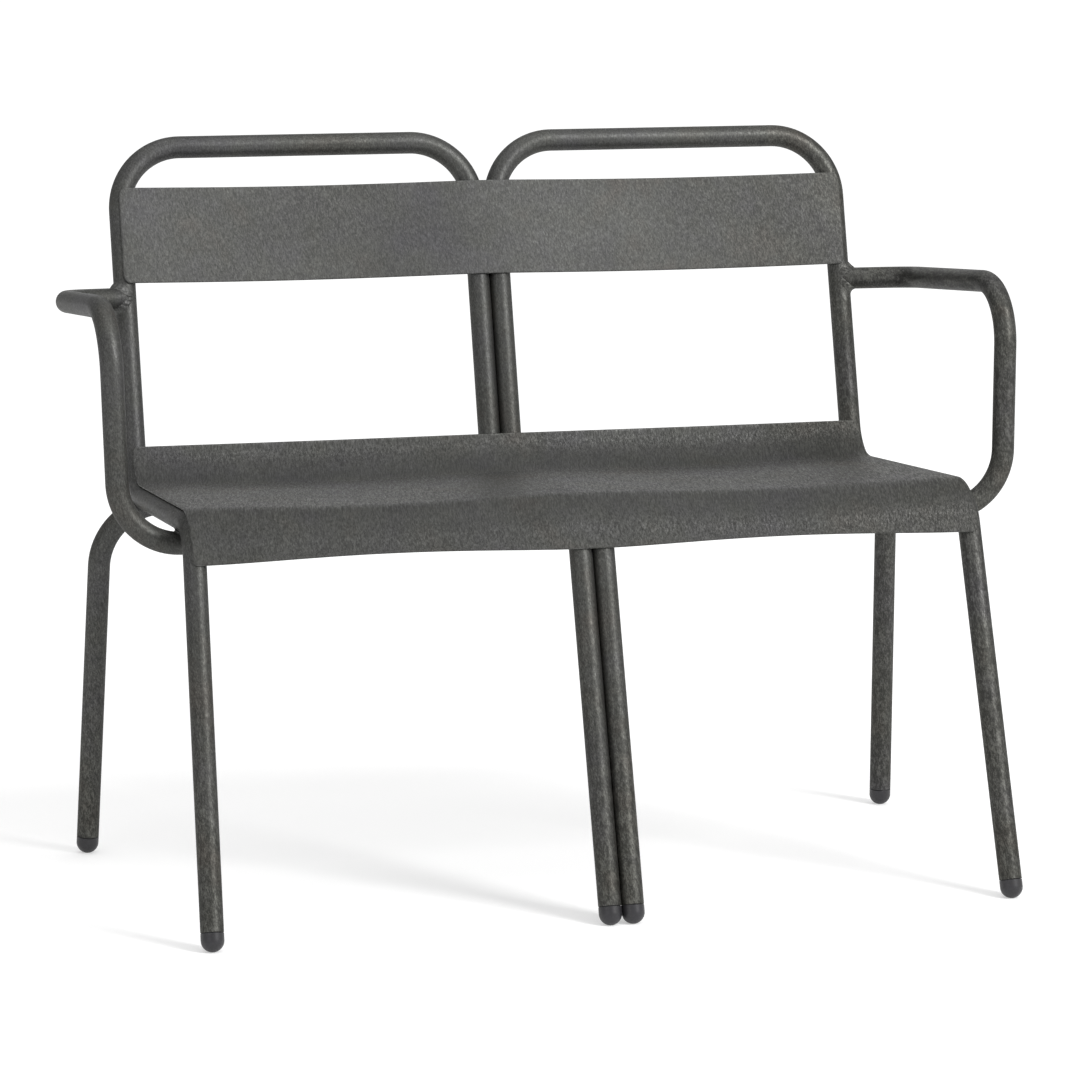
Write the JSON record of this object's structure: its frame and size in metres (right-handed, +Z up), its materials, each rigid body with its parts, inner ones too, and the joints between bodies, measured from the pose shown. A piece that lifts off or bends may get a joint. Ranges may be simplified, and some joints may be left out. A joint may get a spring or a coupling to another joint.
{
  "type": "metal bench",
  "caption": "Tubular metal bench with a rolled sheet seat, a dished back sheet, bent tube arms and splayed legs on domed feet.",
  "frame": {"origin": "centre of the bench's footprint box, on the floor", "axes": "+X along the bench to the sitter's left, +Y to the back, +Z up"},
  "size_m": [1.0398, 0.5854, 0.8105],
  "materials": {
    "tube_coat": "satin mottled dark grey coating over welded steel tube",
    "sheet_coat": "satin mottled grey coating over steel sheet",
    "foot_plastic": "dark grey moulded plastic"
  },
  "bodies": {
    "root": {"rear_leg_hoop": "tube_coat", "seat_sheet": "sheet_coat", "back_sheet": "sheet_coat", "left_frame_tube": "tube_coat", "left_arm": "tube_coat", "left_arm_weld": "tube_coat", "left_arm_tail_weld": "tube_coat", "left_outer_hoop_weld": "tube_coat", "left_inner_hoop_weld": "tube_coat", "left_outer_front_foot": "foot_plastic", "left_inner_front_foot": "foot_plastic", "left_rear_foot": "foot_plastic", "right_frame_tube": "tube_coat", "right_arm": "tube_coat", "right_arm_weld": "tube_coat", "right_arm_tail_weld": "tube_coat", "right_outer_hoop_weld": "tube_coat", "right_inner_hoop_weld": "tube_coat", "right_outer_front_foot": "foot_plastic", "right_inner_front_foot": "foot_plastic", "right_rear_foot": "foot_plastic"}
  },
  "joints": []
}
